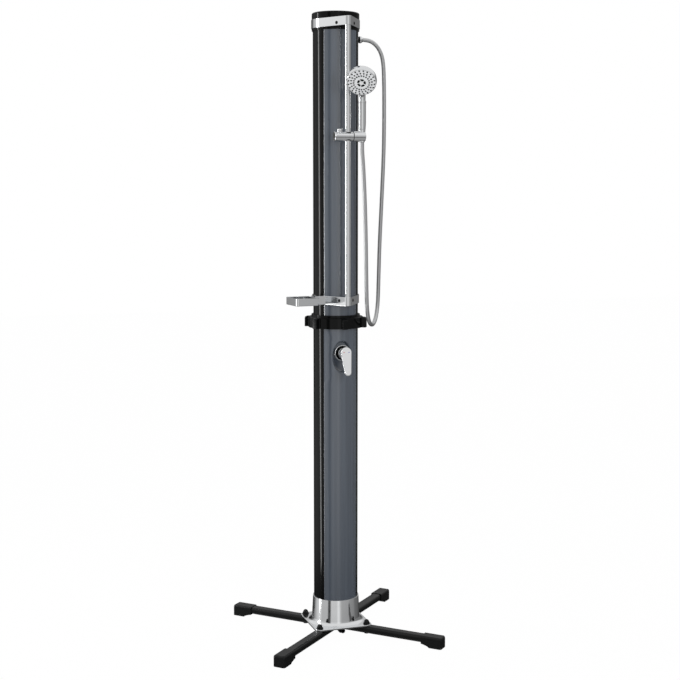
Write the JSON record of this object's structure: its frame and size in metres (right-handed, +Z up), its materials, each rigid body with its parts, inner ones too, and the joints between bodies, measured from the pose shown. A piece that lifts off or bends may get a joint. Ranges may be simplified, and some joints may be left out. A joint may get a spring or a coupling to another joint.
{
  "type": "outdoor shower post",
  "caption": "Free-standing garden shower column on a cross foot, with a slide bar, a tilting hand shower on a hose, a soap dish and a lever mixer set in the front panel.",
  "frame": {"origin": "on the ground, at the column's axis", "axes": "+Z up along the column, -Y towards the side with the hand shower and the mixer, -X the side of the soap dish, +X the side of the hose outlet"},
  "size_m": [0.6168, 0.6168, 2.1773],
  "materials": {
    "black_steel": "satin black powder coat",
    "black_gloss": "glossy black",
    "grey_panel": "semi-gloss grey",
    "black_plastic": "matt black",
    "chrome": "polished",
    "chromed_plastic": "chrome-plated, polished",
    "black_rubber": "matt",
    "brass": "machined",
    "steel_hose": "interlocked metal wrap, polished",
    "spring_steel": "bright drawn wire",
    "grey_face": "light grey, satin",
    "red_mark": "gloss red",
    "blue_mark": "gloss blue"
  },
  "bodies": {
    "root": {"cross_bar_long": "black_steel", "cross_bar_left": "black_steel", "cross_bar_right": "black_steel", "end_foot_1": "black_plastic", "end_foot_2": "black_plastic", "end_foot_3": "black_plastic", "end_foot_4": "black_plastic", "base_flange": "chrome", "base_bolts": "black_steel", "dome_nuts": "black_plastic", "inlet_elbow": "brass", "inlet_spigot": "black_plastic", "lower_tank_shell": "black_gloss", "upper_tank_shell": "black_gloss", "lower_front_panel": "grey_panel", "upper_front_panel": "grey_panel", "lower_tank_plug": "black_plastic", "upper_tank_plug": "black_plastic", "joint_spigot": "black_plastic", "joint_seal": "black_rubber", "union_collar": "black_gloss", "top_cap": "black_gloss", "cold_feed_pipe": "brass", "hot_feed_pipe": "brass", "riser_pipe": "brass", "top_bracket": "chrome", "lower_bracket": "chrome", "bracket_screws": "black_steel", "slide_bar": "chrome", "soap_dish": "chromed_plastic", "soap_dish_screw": "chrome", "outlet_nipple": "black_plastic", "outlet_gasket": "black_rubber", "hose_wall_nut": "chrome", "hose": "steel_hose", "mixer_body": "brass", "mixer_cartridge": "black_plastic", "cartridge_nut": "black_plastic", "mixer_sleeve": "chrome"},
    "slider": {"slider_body": "chromed_plastic", "slider_bush": "black_plastic", "brake_shoe": "black_rubber", "button_spring": "spring_steel", "friction_washer": "black_rubber", "holder_screw": "spring_steel"},
    "button": {"release_button": "chromed_plastic"},
    "holder": {"handset_holder": "chromed_plastic"},
    "handset": {"handset_body": "chromed_plastic", "handset_nut": "chrome", "hose_washer": "black_rubber"},
    "spray": {"spray_face": "grey_face", "spray_nozzles": "black_rubber"},
    "mixer_turn": {"mixer_spindle": "brass", "lever_pin": "spring_steel"},
    "mixer_lever": {"mixer_lever": "chrome", "hot_mark": "red_mark", "cold_mark": "blue_mark"}
  },
  "joints": [
    {"name": "slider_travel", "type": "slide", "parent": "root", "child": "slider", "axis": [0, 0, 1], "range_m": [-0.52, 0.345], "deforming": ["hose"]},
    {"name": "release_button", "type": "slide", "parent": "slider", "child": "button", "axis": [0, 0, -1], "range_m": [0, 0.0025], "stiffness_N_per_m": 1500, "springref_m": -0.002, "deforming": ["button_spring"]},
    {"name": "holder_tilt", "type": "hinge", "parent": "slider", "child": "holder", "pos_m": [0, -0.134, 1.7563], "axis": [1, 0, 0], "range_deg": [-3, 40], "deforming": ["hose"]},
    {"name": "handset_lift", "type": "slide", "parent": "holder", "child": "handset", "axis": [0, 0, 1], "range_m": [0, 0.06], "deforming": ["hose"]},
    {"name": "spray_turn", "type": "hinge", "parent": "handset", "child": "spray", "pos_m": [0.02326, -0.20495, 1.9299], "axis": [-0.2899, -0.7553, -0.5878], "range_deg": [-36, 36]},
    {"name": "mixer_temperature", "type": "hinge", "parent": "root", "child": "mixer_turn", "pos_m": [0, -0.09, 1.0168], "axis": [0, 1, 0], "range_deg": [-45, 45]},
    {"name": "mixer_flow", "type": "hinge", "parent": "mixer_turn", "child": "mixer_lever", "pos_m": [0, -0.09, 1.0168], "axis": [-1, 0, 0], "range_deg": [0, 25]}
  ]
}
